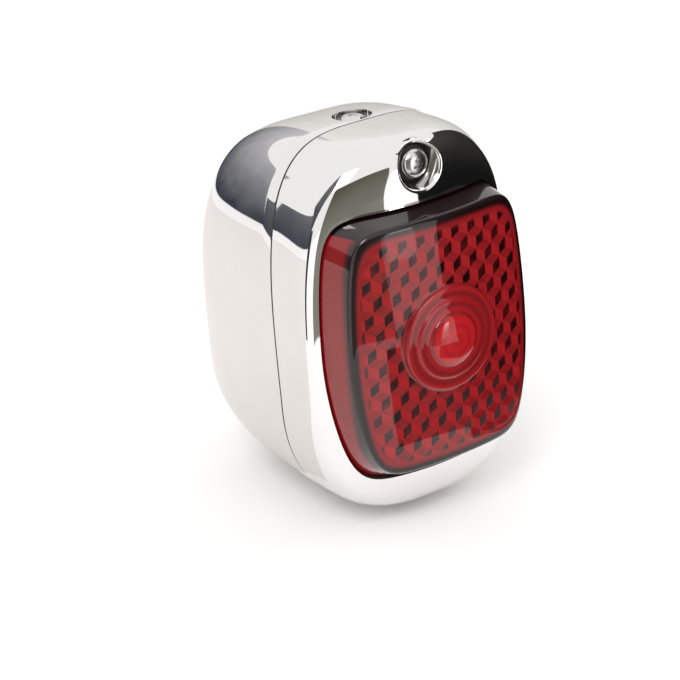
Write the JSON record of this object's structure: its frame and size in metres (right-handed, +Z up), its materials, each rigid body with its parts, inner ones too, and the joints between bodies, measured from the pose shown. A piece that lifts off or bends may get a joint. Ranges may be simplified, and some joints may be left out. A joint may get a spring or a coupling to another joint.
{
  "type": "tail light",
  "caption": "Motorcycle tail light: chromed steel shell and bezel with a tall red reflex lens and bull's-eye, one-screw bezel and a bayonet bulb.",
  "frame": {"origin": "centre of the two mounting studs, on the flat back face of the rear shell", "axes": "+Z up, +Y towards the fender that the light is bolted to, so the lens faces -Y; +X across"},
  "size_m": [0.0754, 0.1106, 0.118],
  "materials": {
    "chrome": "polished",
    "bright_screw": "bright",
    "red_lens": "clear moulded, glossy",
    "zinc_steel": "zinc plated",
    "rubber": "matt",
    "brass": "satin",
    "insulator": "pressed phenolic",
    "glass": "clear",
    "solder": "satin",
    "tungsten": "drawn wire"
  },
  "bodies": {
    "housing": {"rear_shell": "chrome", "rim_gasket": "rubber", "screw_bracket": "zinc_steel", "captive_nut": "zinc_steel", "top_screw": "bright_screw", "top_screw_washer": "bright_screw", "top_screw_nut": "zinc_steel", "mount_plate": "zinc_steel", "mounting_studs": "zinc_steel", "wire_grommet": "rubber", "socket_bracket": "zinc_steel", "bracket_rivets": "zinc_steel", "socket_shell": "brass", "contact_spring": "zinc_steel"},
    "door": {"bezel": "chrome", "lens": "red_lens", "lens_gasket": "rubber", "lens_straps": "zinc_steel", "strap_studs": "zinc_steel", "strap_nuts": "zinc_steel", "bezel_hook": "zinc_steel"},
    "seal": {"screw_seal": "rubber"},
    "screw": {"door_screw": "bright_screw"},
    "carrier": {"contact_carrier": "insulator", "socket_contacts": "brass"},
    "bulb": {"bulb_base": "brass", "bulb_pins": "brass", "bulb_contacts": "solder", "bulb_glass": "glass", "bulb_stem": "glass", "filament_supports": "tungsten", "filaments": "tungsten"}
  },
  "joints": [
    {"name": "door_swing", "type": "hinge", "parent": "housing", "child": "door", "pos_m": [0, -0.0568, -0.0482], "axis": [1, 0, 0], "range_deg": [0, 38]},
    {"name": "screw_out", "type": "slide", "parent": "door", "child": "seal", "axis": [0, -1, 0], "range_m": [0, 0.012]},
    {"name": "screw_turn", "type": "hinge", "parent": "seal", "child": "screw", "pos_m": [0, -0.0786, 0.0616], "axis": [0, -1, 0], "range_deg": [0, 5441]},
    {"name": "bulb_push", "type": "slide", "parent": "housing", "child": "carrier", "axis": [0, 1, 0], "range_m": [0, 0.002], "stiffness_N_per_m": 1500, "springref_m": -0.004, "deforming": ["contact_spring"]},
    {"name": "bulb_turn", "type": "hinge", "parent": "carrier", "child": "bulb", "pos_m": [0, -0.03, 0.0118], "axis": [0, 1, 0], "range_deg": [0, 18]}
  ],
  "couplings": [
    {"joint": "screw_turn", "follows": "screw_out", "rad_per_m": 7913.3}
  ]
}
